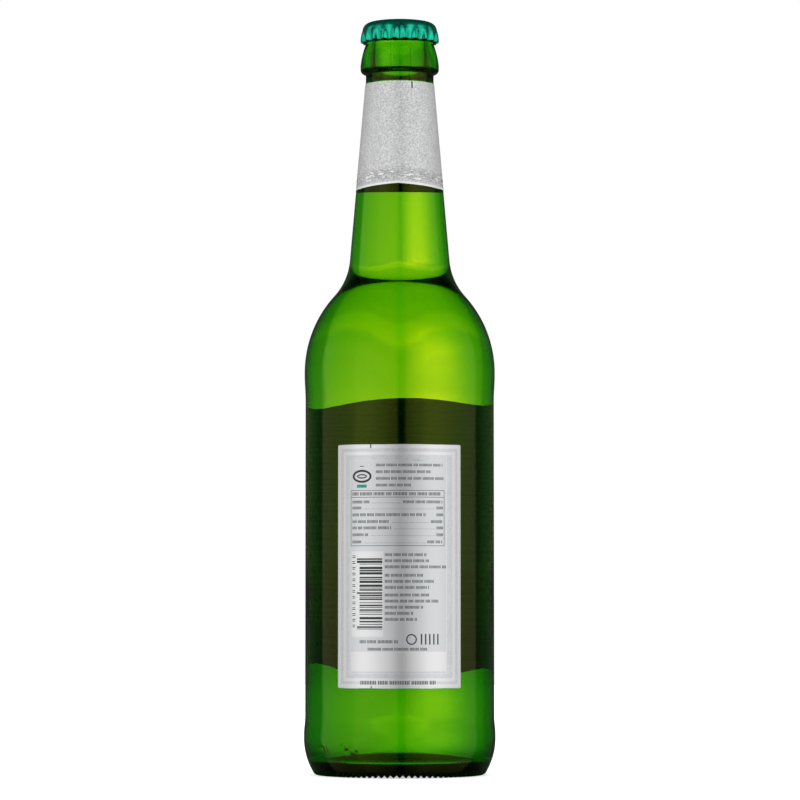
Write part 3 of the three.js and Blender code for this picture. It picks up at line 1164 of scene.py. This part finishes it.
# The lower edge of the panel's image climbs on both sides of its middle
DIP = [
    (-180, 0.066), (-22, 0.066), (-10, 0.042), (-6, 0.0175), (-1.5, 0.0), (1.5, 0.0),
    (6, 0.0175), (10, 0.042), (19, 0.064), (180, 0.066),
]
# Levels are divided by this in the ramps, so that they stay below 1 there
SEEN_HIGHEST = 2.0
# A faint upright strip down the panel's middle, with what it takes from red and from green
STRIP = [(-1.8, 0.0), (-1.1, 1.0), (1.1, 1.0), (1.8, 0.0)]
STRIP_TINT = (0.3, 0.03)
WARMTH = 2.3
# What shiny surfaces mirror: two boxes in front of the bottle with a gap between them
MIRRORED_ROUND = [
    (-180, 0.0), (-178.5, 0.05), (-176, 0.42), (-169, 0.5), (-160, 0.62), (-150, 0.78), (-142, 0.88),
    (-126, 0.95), (-121, 0.62), (-100, 0.5), (-74, 0.45), (-69, 0.05), (72, 0.05), (77, 0.4), (104, 0.6),
    (118, 0.75), (130, 0.95), (147, 0.95), (153, 0.7), (165, 0.52), (171, 0.42), (174, 0.1),
    (175.5, 0.0), (180, 0.0),
]
MIRRORED_UP = [
    (-90, 0.05), (-60, 0.1), (-35, 0.3), (-8, 1.0), (14, 1.0), (27, 0.5), (40, 0.12), (60, 0.03),
    (90, 0.02),
]
SOFT_STRENGTH = 0.95


def seen_light(shader, bearing, height):
    """The colour that refracted light finds in a direction."""
    def lowered(stops):
        return [(place, level / SEEN_HIGHEST) for place, level in stops]

    shifted = shader.math("ADD", height, shader.ramp(bearing, bearing_stops(DIP)))
    around = shader.ramp(bearing, lowered(bearing_stops(SEEN_ROUND)))
    up = shader.ramp(shifted, lowered(height_stops(SEEN_UP)))
    up = shader.math("MULTIPLY", up, shader.ramp(height, height_stops(SEEN_TOP)))
    level = shader.math("MULTIPLY", shader.math("MULTIPLY", around, up), SEEN_HIGHEST ** 2)
    glow = shader.math(
        "MULTIPLY",
        shader.ramp(bearing, bearing_stops(GLOW_ROUND)),
        shader.ramp(height, height_stops(GLOW_UP)),
    )
    lifted = shader.math("ADD", 1.0, shader.math("MULTIPLY", glow, GLOW))
    level = shader.math("MULTIPLY", level, lifted)
    strip = shader.ramp(bearing, bearing_stops(STRIP))
    seen = shader.node("ShaderNodeCombineXYZ")
    red = shader.math("POWER", level, WARMTH)
    for socket, light, share in ((0, red, STRIP_TINT[0]), (1, level, STRIP_TINT[1]), (2, level, 0.0)):
        kept = shader.math("SUBTRACT", 1.0, shader.math("MULTIPLY", strip, share))
        shader.put(shader.math("MULTIPLY", light, kept), seen.inputs[socket])
    return seen.outputs[0]


def make_world():
    """Even light for matt surfaces, a lit panel for what the glass shows, and boxes to mirror."""
    world = bpy.data.worlds.new("studio")
    bpy.context.scene.world = world
    shader = Shader(world)
    direction = shader.node("ShaderNodeTexCoord").outputs["Generated"]
    split = shader.node("ShaderNodeSeparateXYZ")
    shader.link(direction, split.inputs[0])
    turn = shader.math("ARCTAN2", split.outputs[0], split.outputs[1])
    bearing = shader.math("ADD", shader.math("DIVIDE", turn, 2 * math.pi), 0.5)
    height = shader.math("ADD", shader.math("MULTIPLY", split.outputs[2], 0.5), 0.5)

    def grey(brightness):
        made = shader.node("ShaderNodeCombineXYZ")
        for socket in made.inputs:
            shader.put(brightness, socket)
        return made.outputs[0]

    mirrored = shader.math(
        "MULTIPLY",
        shader.ramp(bearing, bearing_stops(MIRRORED_ROUND)),
        shader.ramp(height, height_stops(MIRRORED_UP)),
    )
    path = shader.node("ShaderNodeLightPath")
    color = shader.mix(path.outputs["Is Glossy Ray"], grey(SOFT_STRENGTH), grey(mirrored))
    color = shader.mix(path.outputs["Is Transmission Ray"], color, seen_light(shader, bearing, height))
    color = shader.mix(path.outputs["Is Camera Ray"], color, (1, 1, 1, 1))
    background = shader.node("ShaderNodeBackground")
    shader.put(color, background.inputs["Color"])
    out = shader.node("ShaderNodeOutputWorld")
    shader.link(background.outputs[0], out.inputs["Surface"])


make_camera()
make_floor()
make_world()

# The inner sides of the labels and the band get a near-black painted shade
paper_back_painted_shade = paper_back_painted_shade_material()
paper_edge = paper_edge_material()
glass = make_glass()
beer = make_beer()
cap = make_cap()
for solid in (glass, beer, cap):
    fix_normals(solid)
dress(glass, "green_glass", "glass_bottle", glass_material())
dress(beer, "pale_beer", "beer", beer_material())
dress(cap, "cap_lacquer", "crown_cap", cap_material())
dress(make_band(), "silver_paper", "neck_band", band_material(), paper_back_painted_shade, paper_edge)
back_paper = label_material("back_print", (0.93, 0.94, 0.96, 1), (0.8, 0.81, 0.83, 1))
front_paper = label_material("front_print", (0.9, 0.9, 0.91, 1), (0.74, 0.74, 0.75, 1))
dress(make_back_label(), "back_print", "back_label", back_paper, paper_back_painted_shade, paper_edge)
dress(make_front_label(), "front_print", "front_label", front_paper, paper_back_painted_shade, paper_edge)
inks = [
    ink_material("ink_dark", (0.018, 0.026, 0.024, 1), (0.03, 0.04, 0.037, 1), 0.45),
    ink_material("ink_white", (0.93, 0.93, 0.94, 1), (0.98, 0.98, 0.99, 1), 0.28, 0.8),
    ink_material("ink_grey", (0.77, 0.79, 0.8, 1), (0.83, 0.85, 0.86, 1), 0.3, 0.75),
    ink_material("ink_teal", (0.0, 0.28, 0.2, 1), (0.01, 0.36, 0.26, 1), 0.4),
]
print_band(inks)
print_back_label(inks)
print_front_label(inks)

view = bpy.context.scene.view_settings
view.view_transform = "Standard"
view.look = "None"
cycles = bpy.context.scene.cycles
cycles.max_bounces = 32
cycles.transmission_bounces = 32
cycles.glossy_bounces = 12
cycles.diffuse_bounces = 6
